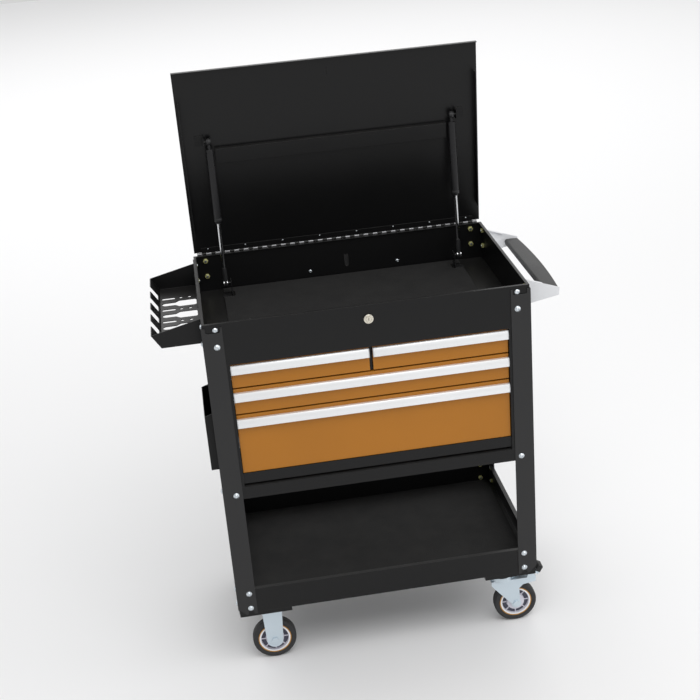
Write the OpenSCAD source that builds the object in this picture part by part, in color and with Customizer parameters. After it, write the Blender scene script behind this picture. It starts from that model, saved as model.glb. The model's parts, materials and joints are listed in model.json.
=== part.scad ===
// Rolling tool chest: a lidded top compartment on four angle posts, four drawers, an open bay,
// a bottom tray, side racks, a push handle, two rigid and two swivel casters.
// +X is the handle side, -Y is the drawer side, +Z is up, z = 0 is the ground.

/* [Cart] */
// Width over the corner posts
cart_w = 889; // [880:1:898]
// Depth over the corner posts
cart_d = 558; // [552:1:570]
// Height of the post tops
post_top = 1098; // [1090:1:1102]
// Height of the post feet
post_foot = 193; // [192:1:196]
// Width of each post flange
post_flange = 55; // [52:1:58]
// Sheet thickness of the posts
post_t = 2.5; // [2:0.1:3]
// Sheet thickness of the panels
sheet = 2; // [1.6:0.1:2.2]

/* [Top compartment] */
// Height of the compartment rim
rim_z = 1108; // [1106:1:1112]
// Height of the lower edge of the compartment walls
shell_foot = 986; // [985.8:0.1:987]
// Height of the compartment floor
floor_z = 994; // [993:0.1:995]
// Height of the lock centre
lock_z = 1069; // [1062:1:1074]
// How far the lid swings from closed to open
lid_open = 85.2; // [80:0.1:88]
// Distance from the hinge axis to the front of the lid
lid_l = 560; // [556:0.5:562]
// Half width of the lid
lid_hw = 438; // [436:0.5:440]

/* [Drawers] */
// Half width over the drawer housing
housing_hw = 383; // [381:0.5:384]
// Height of the top edge of the first drawer row
row_top = 985.4; // [984:0.1:985.5]
// Front height of a drawer in the first row
first_h = 71.4; // [70:0.1:72]
// Front height of a drawer in the second row
shallow_h = 74; // [72:0.5:74]
// Front height of the deep drawer
deep_h = 177; // [174:0.5:178]
// Gap between drawer rows
row_gap = 5; // [4.5:0.1:5]
// Drawer travel
drawer_travel = 400; // [300:1:420]
// How far the drawer fronts sit behind the post faces
front_recess = 10; // [8:0.5:12]
// How far the pulls stand out from the drawer fronts
pull_reach = 13; // [11:0.5:14]
// Height of a pull
pull_h = 25; // [22:0.5:27]

/* [Sides] */
// How far the left tool rack reaches out from the posts
rack_reach = 133; // [125:1:140]
// How far the right handle reaches out from the posts
handle_reach = 107; // [100:1:112]

/* [Casters] */
// Wheel diameter
wheel_d = 130; // [126:1:132]
// Wheel width
wheel_w = 32; // [30:1:34]
// How far a swivel wheel trails its kingpin
trail = 40; // [36:1:42]
// Distance of the caster centres from the cart centre along X
caster_x = 348; // [344:1:352]
// Distance of the caster centres from the cart centre along Y
caster_y = 222; // [218:1:226]

/* [Hidden] */
$fn = 48;

half_w = cart_w / 2;
half_d = cart_d / 2;
in_x = half_w - post_t;
in_y = half_d - post_t;
side_gap = 2;
side_hy = half_d - post_flange - side_gap;

bolt_r = 4;
bolt_head_r = 7;
bolt_head_h = 4.5;
nut_af = 13;
nut_h = 6;
nut_grip = post_t + sheet;
bolt_inset = 37;
rail_top = 612;
rail_h = 37;
rail_bolt_z = 589.5;
bolt_zs = [post_top - 7, post_top - 56, rail_bolt_z, post_foot + 69, post_foot + 20];

hinge_r = 4.5;
hinge_y = in_y + hinge_r;
leaf_t = 1.6;
leaf_gap = 0.4;
hinge_z = rim_z + leaf_gap + leaf_t;
hinge_pin_r = 1.75;
hinge_len = 860;
knuckles = 61;
knuckle_gap = 0.4;

strut_x = 356;
strut_r = 11;
rod_r = 5;
strut_top = [355, 18];
strut_foot = [215, 1034];
strut_head = [hinge_y - strut_top[0] * cos(lid_open) - strut_top[1] * sin(lid_open),
    hinge_z + strut_top[0] * sin(lid_open) - strut_top[1] * cos(lid_open)];
strut_run = [strut_head[0] - strut_foot[0], strut_head[1] - strut_foot[1]];
strut_len = norm(strut_run);
strut_lean = atan2(-strut_run[0], strut_run[1]);
barrel_len = 235;
strut_stroke = 134;
bore_end = 27;
rod_fit = 0.06;

housing_t = 1.5;
housing_foot = rail_top;
housing_back = in_y - 6;
fronts_y = -(half_d - front_recess);
housing_front = fronts_y - 1;
row2_top = row_top - first_h - row_gap;
row3_top = row2_top - shallow_h - row_gap;
drawer_hw = housing_hw - 3;
half_gap = 5;
front_depth = 15;
box_t = 1.2;
box_y = fronts_y + front_depth;
box_l = 495;
runner_space = 13;
runner_h = 34;
runner_t = 1.4;
runner_back = 1.2;
runner_lip = 11;
slide_h = 20;
slide_w = 8.5;
divider_hw = 3.5;
pull_drop = 9.5;

wheel_r = wheel_d / 2;
tyre_bore_r = 49;
axle_r = 6;
axle_fit = 0.06;
hub_bore_r = axle_r + axle_fit;
half_tyre = wheel_w / 2;
leg_t = 4;
leg_y = wheel_w / 2 + 3.5;
caster_top = 184;
crown_z = 148;
kingpin_r = 8;
race_r = 31;

rack_t = 2;
rack_z = [1036, 1075, 1106];
bin_z = [645, 812, 840];
bin_y = [-(half_d - 65), -15];
bin_reach = 22;
tray_rim = 275;
tray_foot = 196;
tray_floor = 200;

// The origin is the bottom centre of the whole cart with its lid open
front_y = -(half_d + bolt_head_h);
back_y = hinge_y + hinge_r;
origin_dx = (rack_reach - handle_reach) / 2;
origin_dy = -(front_y + back_y) / 2;

module on_cart() translate([origin_dx, origin_dy, 0]) children();

// A box from its lowest corner to its highest corner
module block(low, high) translate(low) cube(high - low);

// A box that is mirrored over x = 0
module block_pair(low, high) for (s = [0, 1]) mirror([s, 0, 0]) block(low, high);

// Children drawn for the front left post, moved to the corner at side sx, sy
module at_corner(sx, sy) translate([sx * half_w, sy * half_d, 0])
    mirror([sx > 0 ? 1 : 0, 0, 0]) mirror([0, sy > 0 ? 1 : 0, 0]) children();

module at_all_corners() for (sx = [-1, 1], sy = [-1, 1]) at_corner(sx, sy) children();

// Turns children from +Z to the inward normal of the front flange, then of the side flange
module on_both_flanges(z) {
    translate([bolt_inset, 0, z]) rotate([-90, 0, 0]) children();
    translate([0, bolt_inset, z]) rotate([0, 90, 0]) children();
}

// Every frame bolt hole, as solid shanks
module bolt_holes(r = bolt_r) at_all_corners() for (z = bolt_zs)
    on_both_flanges(z) translate([0, 0, -1]) cylinder(r = r, h = nut_grip + 2);

// Half of a capsule-ended slot outline, open at the top
module notch_outline(w, h, r) {
    translate([-w / 2, r]) square([w, h]);
    translate([-w / 2 + r, 0]) square([w - 2 * r, h]);
    for (s = [-1, 1]) translate([s * (w / 2 - r), r]) circle(r);
}

// ---- Corner posts: angle sections, notched round the top bolts and at the feet ----

notch_x = 30;
notch_w = 40;
notch_h = 15;
foot_notch_w = 18;
foot_notch_h = 9;
foot_chamfer = 24;

module flange() difference() {
    translate([0, post_foot]) square([post_flange, post_top - post_foot]);
    translate([notch_x, post_top - notch_h]) notch_outline(notch_w, notch_h, 6);
    translate([bolt_inset, post_foot + foot_notch_h]) mirror([0, 1]) notch_outline(foot_notch_w, 12, 4);
    translate([0, post_foot]) polygon([[-1, -1], [foot_chamfer, -1], [-1, foot_chamfer]]);
}

module post(sx, sy) color([0.2, 0.2, 0.21]) on_cart() difference() {
    at_corner(sx, sy) {
        translate([0, post_t, 0]) rotate([90, 0, 0]) linear_extrude(post_t) flange();
        rotate([90, 0, 90]) linear_extrude(post_t) flange();
    }
    bolt_holes(bolt_r + 0.2);
}

module post_front_left() post(-1, -1);
module post_front_right() post(1, -1);
module post_rear_left() post(-1, 1);
module post_rear_right() post(1, 1);

// ---- Top compartment: four walls with a turned-in rim, a floor and a liner ----

rim_lip = 8;
lock_r = 9.5;
cable_slot = [18, 8, 34];

module compartment_shell() color([0.1, 0.1, 0.105]) on_cart() difference() {
    block([-in_x, -in_y, shell_foot], [in_x, in_y, rim_z]);
    block([-in_x + sheet, -in_y + sheet, shell_foot - 1], [in_x - sheet, in_y - sheet, rim_z - sheet]);
    block([-in_x + rim_lip, -in_y + rim_lip, shell_foot], [in_x - rim_lip, in_y - rim_lip, rim_z + 1]);
    translate([0, -in_y - 1, lock_z]) rotate([-90, 0, 0]) cylinder(r = lock_r, h = sheet + 2);
    translate([cable_slot[0], in_y + 1, 1020]) rotate([90, 0, 0]) linear_extrude(sheet + 2)
        notch_outline(cable_slot[1], cable_slot[2], 3);
    bolt_holes(bolt_r + 0.2);
}

module compartment_floor() color([0.08, 0.08, 0.085]) on_cart()
    block([-in_x + sheet, -in_y + sheet, floor_z - sheet], [in_x - sheet, in_y - sheet, floor_z]);

liner_hw = 365;
liner_t = 4;

module floor_liner() color([0.14, 0.14, 0.145]) on_cart() difference() {
    block([-liner_hw, -in_y + 8, floor_z], [liner_hw, in_y - 8, floor_z + liner_t]);
    block_pair([strut_x - 24, strut_foot[0] - 20, floor_z - 1],
        [liner_hw + 1, strut_foot[0] + 20, floor_z + liner_t + 1]);
}

// ---- Drawer housing, divider and rails ----

apron_z = [620, 652];
return_w = 39;

// Floor, back and side walls, with a return behind each post, and an apron under the drawers
module drawer_housing() color([0.07, 0.07, 0.075]) on_cart() {
    difference() {
        block([-housing_hw, -in_y + sheet, housing_foot], [housing_hw, in_y - sheet, floor_z - sheet]);
        block([-housing_hw + housing_t, -in_y, housing_foot + housing_t],
            [housing_hw - housing_t, housing_back - housing_t, floor_z + 1]);
        block([-housing_hw + housing_t, housing_back, housing_foot - 1],
            [housing_hw - housing_t, in_y, floor_z + 1]);
    }
    for (s = [0, 1]) mirror([0, s, 0])
        block_pair([housing_hw - housing_t, -in_y, housing_foot],
            [housing_hw + return_w, -in_y + sheet, shell_foot]);
    block([-housing_hw, housing_front - housing_t, apron_z[0]], [housing_hw, housing_front, apron_z[1]]);
}

// Shelf under the half-width drawers with the upright channel between them
module drawer_divider() color([0.07, 0.07, 0.075]) on_cart() {
    shelf_z = row2_top + 1.5;
    block([-housing_hw + housing_t, box_y + 2, shelf_z],
        [housing_hw - housing_t, housing_back - housing_t, shelf_z + housing_t]);
    difference() {
        block([-divider_hw, box_y - 8, shelf_z + housing_t],
            [divider_hw, housing_back - housing_t, floor_z - sheet]);
        block([-divider_hw + housing_t, box_y - 8 + housing_t, shelf_z],
            [divider_hw - housing_t, housing_back, floor_z]);
    }
}

// Channel across the posts under the drawers, with an end tab behind each side flange
module rail() {
    tab_l = post_flange - 3;
    block([-in_x, -in_y, rail_top - rail_h], [in_x, -in_y + sheet, rail_top]);
    for (z = [rail_top - sheet, rail_top - rail_h])
        block([-housing_hw, -in_y, z], [housing_hw, -in_y + 18, z + sheet]);
    block_pair([in_x - sheet, -in_y, rail_top - rail_h], [in_x, -in_y + tab_l, rail_top]);
}

module cabinet_rails() color([0.1, 0.1, 0.105]) on_cart() difference() {
    for (s = [0, 1]) mirror([0, s, 0]) rail();
    bolt_holes(bolt_r + 0.2);
}

// ---- Side pockets: perforated pliers rack on the right, sheet bin on the left ----

pliers_z = 600;
pliers_out = 430;
pliers_x = (housing_hw + pliers_out) / 2 + 1;
pliers_lip = 25;
pliers_holes = 7;
pliers_pitch = 58;
pliers_hole_r = 10;

module pliers_rack() color([0.09, 0.09, 0.095]) on_cart() difference() {
    union() {
        block([housing_hw, -side_hy, pliers_z], [pliers_out, side_hy, pliers_z + sheet]);
        block([pliers_out - sheet, -side_hy, pliers_z - pliers_lip], [pliers_out, side_hy, pliers_z + sheet]);
        block([housing_hw, -side_hy, pliers_z], [housing_hw + sheet, side_hy, pliers_z + pliers_lip + 15]);
    }
    for (i = [0 : pliers_holes - 1])
        translate([pliers_x, (i - (pliers_holes - 1) / 2) * pliers_pitch, pliers_z - 1])
            cylinder(r = pliers_hole_r, h = sheet + 2);
}

bin_out = half_w + bin_reach;

module bin_cheek(y) translate([0, y, 0]) rotate([90, 0, 0]) linear_extrude(sheet)
    polygon([[-bin_out, bin_z[0]], [-housing_hw, bin_z[0]],
        [-housing_hw, bin_z[2]], [-bin_out, bin_z[1]]]);

module side_bin() color([0.08, 0.08, 0.085]) on_cart() {
    bin_cheek(bin_y[0] + sheet);
    bin_cheek(bin_y[1]);
    block([-bin_out, bin_y[0], bin_z[0]], [-housing_hw, bin_y[1], bin_z[0] + sheet]);
    block([-bin_out, bin_y[0], bin_z[0]], [-bin_out + sheet, bin_y[1], bin_z[1]]);
    block([-housing_hw - sheet, bin_y[0], bin_z[0]], [-housing_hw, bin_y[1], bin_z[2]]);
}

// ---- Bottom tray, its liner and the caster channels ----

tray_lip = 12;
tray_liner_t = 3;

module bottom_tray() color([0.1, 0.1, 0.105]) on_cart() difference() {
    block([-in_x, -in_y, tray_foot], [in_x, in_y, tray_rim]);
    block([-in_x + sheet, -in_y + sheet, tray_floor + sheet], [in_x - sheet, in_y - sheet, tray_rim - sheet]);
    block([-in_x + tray_lip, -in_y + tray_lip, tray_floor + sheet],
        [in_x - tray_lip, in_y - tray_lip, tray_rim + 1]);
    block([-in_x + sheet, -in_y + sheet, tray_foot - 1], [in_x - sheet, in_y - sheet, tray_floor]);
    bolt_holes(bolt_r + 0.2);
}

module tray_liner() color([0.13, 0.13, 0.135]) on_cart() difference() {
    block([-in_x + tray_lip + 1, -in_y + tray_lip + 1, tray_floor + sheet],
        [in_x - tray_lip - 1, in_y - tray_lip - 1, tray_floor + sheet + tray_liner_t]);
    for (sx = [-1, 1], sy = [-1, 1]) translate([sx * in_x, sy * in_y, tray_floor + sheet - 1])
        cylinder(r = tray_lip + 16, h = tray_liner_t + 2);
}

channel_x = [289, in_x - 1];
channel_t = 3;

module caster_channels() color([0.1, 0.1, 0.105]) on_cart() for (s = [0, 1]) mirror([s, 0, 0]) {
    block([channel_x[0], -in_y, caster_top], [channel_x[1], in_y, caster_top + channel_t]);
    for (x = [channel_x[0], channel_x[1] - channel_t - sheet])
        block([x, -in_y + sheet, caster_top], [x + channel_t, in_y - sheet, tray_floor]);
    for (t = [0, 1]) mirror([0, t, 0])
        block([channel_x[0], -in_y, caster_top], [channel_x[1], -in_y + channel_t, tray_foot]);
}

// ---- Frame fasteners: button head bolts outside, hexagon nuts inside ----

module frame_bolt(seat) {
    translate([0, 0, seat - bolt_head_h]) difference() {
        union() {
            translate([0, 0, 2.5]) cylinder(r = bolt_head_r, h = bolt_head_h - 2.5);
            cylinder(r1 = bolt_head_r * 0.6, r2 = bolt_head_r, h = 2.5);
        }
        translate([0, 0, -1]) cylinder(r = 2.9, h = 3, $fn = 6);
    }
    translate([0, 0, seat]) cylinder(r = bolt_r, h = nut_grip - seat + nut_h + 2);
}

module frame_bolts() color([0.75, 0.78, 0.8]) on_cart() at_all_corners() for (i = [0 : len(bolt_zs) - 1])
    on_both_flanges(bolt_zs[i]) frame_bolt(i == 0 ? post_t : 0);

module frame_nuts() color([0.72, 0.66, 0.42]) on_cart() at_all_corners() for (z = bolt_zs)
    on_both_flanges(z) translate([0, 0, nut_grip]) difference() {
        cylinder(r = nut_af / 2 / cos(30), h = nut_h, $fn = 6);
        translate([0, 0, -1]) cylinder(r = bolt_r + 0.05, h = nut_h + 2);
    }

// ---- Left tool rack: leaning outer wall with notches, slotted floor, sloping cheeks ----

rack_out = half_w + rack_reach;
rack_low_out = half_w + rack_reach * 0.82;
rack_notches = 4;

rack_lean = atan2(rack_out - rack_low_out, rack_z[1] - rack_z[0]);
rack_wall_x = rack_t / cos(rack_lean);
rack_notch_pitch = side_hy * 2 / (rack_notches + 1);
rack_notch_w = rack_notch_pitch * 0.46;
rack_notch_z = rack_z[0] + (rack_z[1] - rack_z[0]) * 0.2;

// Outer wall as a leaning strip along Y, with its notches cut straight through along X
module rack_wall() difference() {
    translate([0, side_hy - rack_t, 0]) rotate([90, 0, 0]) linear_extrude(2 * side_hy - 2 * rack_t)
        polygon([[-rack_low_out, rack_z[0]], [-rack_out, rack_z[1]],
            [-rack_out + rack_wall_x, rack_z[1]], [-rack_low_out + rack_wall_x, rack_z[0]]]);
    for (i = [1 : rack_notches])
        translate([-rack_out - 5, -side_hy + i * rack_notch_pitch, rack_notch_z])
            rotate([90, 0, 90]) linear_extrude(rack_out - rack_low_out + 12)
                notch_outline(rack_notch_w, rack_z[1] - rack_z[0], 5);
}

// Floor openings in XY, with x measured from the foot of the outer wall
bar_slot = [5, 45];
bar_slot_r = 6.5;
bar_holes = [61, 86];
bar_hole_r = 5;
wide_slot_r = 11;
wide_slot = [[17, -11], [44, -11], [56, -23], [101, -23], [105, -19], [105, 19], [101, 23],
    [56, 23], [44, 11], [17, 11]];

module rack_bar_openings() {
    translate([bar_slot[0] + bar_slot_r, -bar_slot_r])
        square([bar_slot[1] - bar_slot[0] - 2 * bar_slot_r, 2 * bar_slot_r]);
    for (x = [bar_slot[0] + bar_slot_r, bar_slot[1] - bar_slot_r]) translate([x, 0]) circle(bar_slot_r);
    for (x = bar_holes) translate([x, 0]) circle(bar_hole_r);
}

module rack_wide_opening() {
    polygon(wide_slot);
    translate([wide_slot[0][0], 0]) circle(wide_slot_r);
}

module tool_rack() color([0.09, 0.09, 0.095]) on_cart() {
    difference() {
        block([-rack_low_out, -side_hy, rack_z[0]], [-in_x, side_hy, rack_z[0] + rack_t]);
        translate([-rack_low_out, -side_hy, rack_z[0] - 1]) linear_extrude(rack_t + 2) {
            for (i = [1 : rack_notches]) translate([0, i * rack_notch_pitch]) rack_bar_openings();
            for (i = [1 : rack_notches - 1]) translate([0, (i + 0.5) * rack_notch_pitch]) rack_wide_opening();
        }
    }
    rack_wall();
    block([-in_x - rack_t, -side_hy, rack_z[0]], [-in_x, side_hy, rack_z[2]]);
    for (y = [-side_hy + rack_t, side_hy]) translate([0, y, 0]) rotate([90, 0, 0]) linear_extrude(rack_t)
        polygon([[-in_x, rack_z[0]], [-in_x, rack_z[2]], [-rack_out, rack_z[1]], [-rack_low_out, rack_z[0]]]);
}

// ---- Push handle: bracket with two tapered arms and a bowed grip bar ----

arm_t = 2.5;
handle_z = [1027, 1102];
handle_tip_z = [1044, 1066];
grip_in = half_w + 56;
grip_out = half_w + handle_reach;
grip_bow = 10;
grip_hy = side_hy - arm_t;

module handle_arm() rotate([90, 0, 0]) linear_extrude(arm_t)
    polygon([[in_x, handle_z[0]], [in_x, handle_z[1]], [grip_out - grip_bow, handle_tip_z[1]],
        [grip_out - grip_bow - 2, handle_tip_z[0]]]);

// Turned edge along the sloping top of an arm, up to the grip
arm_edge_w = 9;
arm_edge_t = 2;
arm_edge_x = grip_in - 6;
arm_edge_z = handle_z[1]
    - (handle_z[1] - handle_tip_z[1]) * (arm_edge_x - in_x) / (grip_out - grip_bow - in_x);

module arm_edge() rotate([90, 0, 0]) linear_extrude(arm_edge_w)
    polygon([[in_x, handle_z[1]], [arm_edge_x, arm_edge_z],
        [arm_edge_x, arm_edge_z - arm_edge_t], [in_x, handle_z[1] - arm_edge_t]]);

module handle_bracket() color([0.82, 0.83, 0.84]) on_cart() {
    block([in_x, -side_hy, handle_z[0]], [in_x + arm_t, side_hy, handle_z[1]]);
    translate([0, -side_hy + arm_t, 0]) handle_arm();
    translate([0, side_hy, 0]) handle_arm();
    translate([0, -side_hy + arm_edge_w, 0]) arm_edge();
    translate([0, side_hy, 0]) arm_edge();
}

module handle_grip() color([0.12, 0.12, 0.125]) on_cart() {
    bow_r = (grip_hy * grip_hy + grip_bow * grip_bow) / (2 * grip_bow);
    intersection() {
        block([grip_in, -grip_hy, handle_tip_z[0] + 1], [grip_out + 1, grip_hy, handle_tip_z[1] - 2]);
        translate([grip_out - bow_r, 0, handle_z[0]])
            cylinder(r = bow_r, h = handle_z[1] - handle_z[0], $fn = 360);
    }
}

// ---- Lock in the front wall ----

lock_flange_r = 13;
plug_r = 7;
plug_fit = 0.06;
lock_back = 24;

// Children drawn along +Z out of the front wall
module at_lock() translate([0, -in_y, lock_z]) rotate([90, 0, 0]) children();

module lock_housing() color([0.8, 0.78, 0.7]) on_cart() at_lock() difference() {
    union() {
        cylinder(r = lock_flange_r, h = 5);
        translate([0, 0, -lock_back]) cylinder(r = lock_r, h = lock_back + 1);
    }
    translate([0, 0, -lock_back - 1]) cylinder(r = plug_r + plug_fit, h = lock_back + 10);
}

// Plug with its key slot, and the cam on its inner end
module lock_plug() color([0.72, 0.7, 0.62]) on_cart() at_lock() difference() {
    union() {
        translate([0, 0, -lock_back - 3]) cylinder(r = plug_r, h = lock_back + 3 + 6);
        translate([-30, -6, -lock_back - 3]) cube([36, 12, 2.5]);
    }
    translate([-1, -4.5, -4]) cube([2, 9, 12]);
}

// ---- Piano hinge, lid and gas struts ----

knuckle_l = hinge_len / knuckles;
leaf_tab_hw = half_w - post_flange - 3;

module hinge_bore() translate([-hinge_len / 2 - 1, 0, 0]) rotate([0, 90, 0])
    cylinder(r = hinge_pin_r + 0.05, h = hinge_len + 2);

module hinge_knuckles(parity) difference() {
    for (i = [parity : 2 : knuckles - 1])
        translate([-hinge_len / 2 + i * knuckle_l + knuckle_gap / 2, 0, 0]) rotate([0, 90, 0])
            cylinder(r = hinge_r, h = knuckle_l - knuckle_gap);
    hinge_bore();
}

// Clears the other leaf's knuckles out of a leaf
module knuckle_room(parity) for (i = [parity : 2 : knuckles - 1])
    translate([-hinge_len / 2 + i * knuckle_l - knuckle_gap / 2, 0, 0]) rotate([0, 90, 0])
        cylinder(r = hinge_r + 0.4, h = knuckle_l + knuckle_gap);

module at_hinge() translate([0, hinge_y, hinge_z]) children();

module hinge_leaf_lower() color([0.07, 0.07, 0.075]) on_cart() at_hinge() {
    hinge_knuckles(0);
    difference() {
        union() {
            block([-hinge_len / 2, -hinge_r, post_top + 1 - hinge_z], [hinge_len / 2, -hinge_r + leaf_t, 0]);
            block([-leaf_tab_hw, -hinge_r, -32], [leaf_tab_hw, -hinge_r + leaf_t, 0]);
        }
        hinge_bore();
        knuckle_room(1);
    }
}

module hinge_pin() color([0.07, 0.07, 0.075]) on_cart() at_hinge() translate([-hinge_len / 2 + 0.5, 0, 0])
    rotate([0, 90, 0]) cylinder(r = hinge_pin_r, h = hinge_len - 1);

// Children drawn with the lid closed, swung open about the hinge
module lid_opened() at_hinge() rotate([-lid_open, 0, 0]) children();

module hinge_leaf_upper() color([0.07, 0.07, 0.075]) on_cart() lid_opened() {
    hinge_knuckles(1);
    difference() {
        block([-hinge_len / 2 + knuckle_l, -hinge_r - 16, -leaf_t], [hinge_len / 2 - knuckle_l, -1, 0]);
        hinge_bore();
        knuckle_room(0);
    }
}

lid_back = hinge_r + 1;
lid_t = sheet;
lid_lip_h = 10;
lid_wing = [63, 476];
lid_wing_h = 28;
lid_wing_x = 430;
catch_at = 43;

module lid_pan() color([0.24, 0.24, 0.25]) on_cart() lid_opened() difference() {
    union() {
        block([-lid_hw, -lid_l, 0], [lid_hw, -lid_back, lid_t]);
        block([-lid_hw, -lid_l, -lid_lip_h], [lid_hw, -lid_l + lid_t, lid_t]);
        block_pair([lid_wing_x - lid_t, -lid_wing[1], -lid_wing_h], [lid_wing_x, -lid_wing[0], lid_t / 2]);
    }
    translate([0, -lid_l + catch_at, -1]) linear_extrude(lid_t + 0.4) {
        square([4.4, 20], center = true);
        for (s = [-10, 10]) translate([0, s]) circle(2.2);
    }
}

stiffener_at = 308;
stiffener_w = 44;
stiffener_h = 16;
stiffener_hw = 340;
stud_r = 4;

// Hat section under the lid, and a stud bracket over each strut
module lid_reinforcement() color([0.13, 0.13, 0.135]) on_cart() lid_opened() {
    difference() {
        block([-stiffener_hw, -stiffener_at - stiffener_w / 2, -stiffener_h],
            [stiffener_hw, -stiffener_at + stiffener_w / 2, 0]);
        block([-stiffener_hw - 1, -stiffener_at - stiffener_w / 2 + sheet, -stiffener_h + sheet],
            [stiffener_hw + 1, -stiffener_at + stiffener_w / 2 - sheet, 1]);
    }
    for (s = [0, 1]) mirror([s, 0, 0]) {
        block([strut_x + 13, -strut_top[0] - 14, -strut_top[1] - 9], [strut_x + 15.5, -strut_top[0] + 14, 0]);
        block([strut_x + 13, -strut_top[0] - 14, -2.5], [strut_x + 38, -strut_top[0] + 14, 0]);
        translate([strut_x + 7.5, -strut_top[0], -strut_top[1]]) rotate([0, 90, 0])
            cylinder(r = stud_r, h = 7);
    }
}

// Floor bracket with a stud for each strut rod
module strut_mounts_lower() color([0.07, 0.07, 0.075]) on_cart() for (s = [0, 1]) mirror([s, 0, 0]) {
    block([strut_x - 17, strut_foot[0] - 15, floor_z],
        [strut_x - 14.5, strut_foot[0] + 15, strut_foot[1] + 9]);
    block([strut_x - 17, strut_foot[0] - 15, floor_z], [strut_x + 12, strut_foot[0] + 15, floor_z + 2.5]);
    translate([strut_x - 16, strut_foot[0], strut_foot[1]]) rotate([0, 90, 0]) cylinder(r = stud_r, h = 22);
}

// Children drawn upright from the lower stud, leaned along the strut
module along_strut(sx) translate([sx * strut_x, strut_foot[0], strut_foot[1]])
    rotate([strut_lean, 0, 0]) children();

module strut_rod(sx) color([0.85, 0.86, 0.87]) on_cart() along_strut(sx) difference() {
    union() {
        rotate([0, 90, 0]) translate([0, 0, -6]) cylinder(r = 9, h = 12);
        cylinder(r = rod_r, h = strut_len - bore_end - strut_stroke - 4);
    }
    rotate([0, 90, 0]) translate([0, 0, -7]) cylinder(r = stud_r + 0.06, h = 14);
}

module strut_rod_left() strut_rod(-1);
module strut_rod_right() strut_rod(1);

// Gas barrel: bored for the rod, closed at the top by an eye beside the lid stud
module strut_barrel(sx) color([0.08, 0.08, 0.085]) on_cart() along_strut(sx)
    difference() {
        union() {
            translate([0, 0, strut_len - barrel_len]) cylinder(r = strut_r, h = barrel_len - 22);
            translate([0, 0, strut_len - barrel_len - 8]) cylinder(r = strut_r - 3, h = 9);
            translate([0, 0, strut_len - 23]) cylinder(r = 5, h = 16);
            translate([0, 0, strut_len]) rotate([0, 90, 0]) translate([0, 0, -6]) cylinder(r = 9, h = 12);
        }
        translate([0, 0, strut_len - barrel_len - 9])
            cylinder(r = rod_r + rod_fit, h = barrel_len + 9 - bore_end);
        translate([0, 0, strut_len]) rotate([0, 90, 0]) translate([0, 0, -7]) cylinder(r = 3.2, h = 14);
    }

module strut_barrel_left() strut_barrel(-1);
module strut_barrel_right() strut_barrel(1);

// ---- Drawers ----
// A drawer is [x of its left edge, x of its right edge, z of its top, front height,
// distance of the pull below the top]

first_pull_drop = 4.4;
top_left = [-drawer_hw, -half_gap, row_top, first_h, first_pull_drop];
top_right = [half_gap, drawer_hw, row_top, first_h, first_pull_drop];
middle = [-drawer_hw, drawer_hw, row2_top, shallow_h, pull_drop];
bottom = [-drawer_hw, drawer_hw, row3_top, deep_h, pull_drop];

function wall_of(edge) = sign(edge) * (abs(edge) > half_gap ? housing_hw - housing_t : divider_hw);
function box_edge(edge, inward) = wall_of(edge) + inward * runner_space;
function box_low(d) = d[2] - d[3] + 5;
function box_high(d) = d[2] - 10;
function runner_z(d) = (box_low(d) + box_high(d)) / 2;

// Drawer side member: a small channel that rides inside the fixed one
module slide_member(x, inward, z) {
    far = x - inward * slide_w;
    lo = min(x, far);
    difference() {
        block([lo, box_y + 4, z - slide_h / 2], [lo + slide_w, box_y + box_l - 6, z + slide_h / 2]);
        block([inward > 0 ? lo - 1 : lo + runner_back, box_y, z - slide_h / 2 + runner_t],
            [inward > 0 ? lo + slide_w - runner_back : lo + slide_w + 1, box_y + box_l,
                z + slide_h / 2 - runner_t]);
    }
}

module drawer_box(d) color([0.55, 0.36, 0.1]) on_cart() {
    x0 = box_edge(d[0], 1);
    x1 = box_edge(d[1], -1);
    difference() {
        block([x0, box_y, box_low(d)], [x1, box_y + box_l, box_high(d)]);
        block([x0 + box_t, box_y + box_t, box_low(d) + box_t],
            [x1 - box_t, box_y + box_l - box_t, box_high(d) + 1]);
    }
    slide_member(x0, 1, runner_z(d));
    slide_member(x1, -1, runner_z(d));
}

// Folded front: a face with four returns, open at the back
module drawer_front(d) color([0.8, 0.52, 0.14]) on_cart() difference() {
    block([d[0], fronts_y, d[2] - d[3]], [d[1], box_y, d[2]]);
    block([d[0] + box_t, fronts_y + box_t, d[2] - d[3] + box_t], [d[1] - box_t, box_y + 1, d[2] - box_t]);
}

// Pull profile in YZ from the drawer front at the top of the pull: web, face and inner lip
module pull_profile() difference() {
    union() {
        translate([-pull_reach, -3]) square([pull_reach, 3]);
        translate([-pull_reach, -pull_h]) square([2.4, pull_h]);
        translate([-pull_reach, -pull_h]) square([6, 2]);
        translate([-1.5, -12]) square([1.5, 12]);
    }
    translate([-pull_reach, 0]) rotate(45) square(2, center = true);
}

module drawer_pull(d) color([0.86, 0.87, 0.88]) on_cart() translate([d[0], fronts_y, d[2] - d[4]])
    rotate([90, 0, 90]) linear_extrude(d[1] - d[0]) pull_profile();

module drawer_top_left_box() drawer_box(top_left);
module drawer_top_left_front() drawer_front(top_left);
module drawer_top_left_pull() drawer_pull(top_left);
module drawer_top_right_box() drawer_box(top_right);
module drawer_top_right_front() drawer_front(top_right);
module drawer_top_right_pull() drawer_pull(top_right);
module drawer_middle_box() drawer_box(middle);
module drawer_middle_front() drawer_front(middle);
module drawer_middle_pull() drawer_pull(middle);
module drawer_bottom_box() drawer_box(bottom);
module drawer_bottom_front() drawer_front(bottom);
module drawer_bottom_pull() drawer_pull(bottom);

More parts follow.
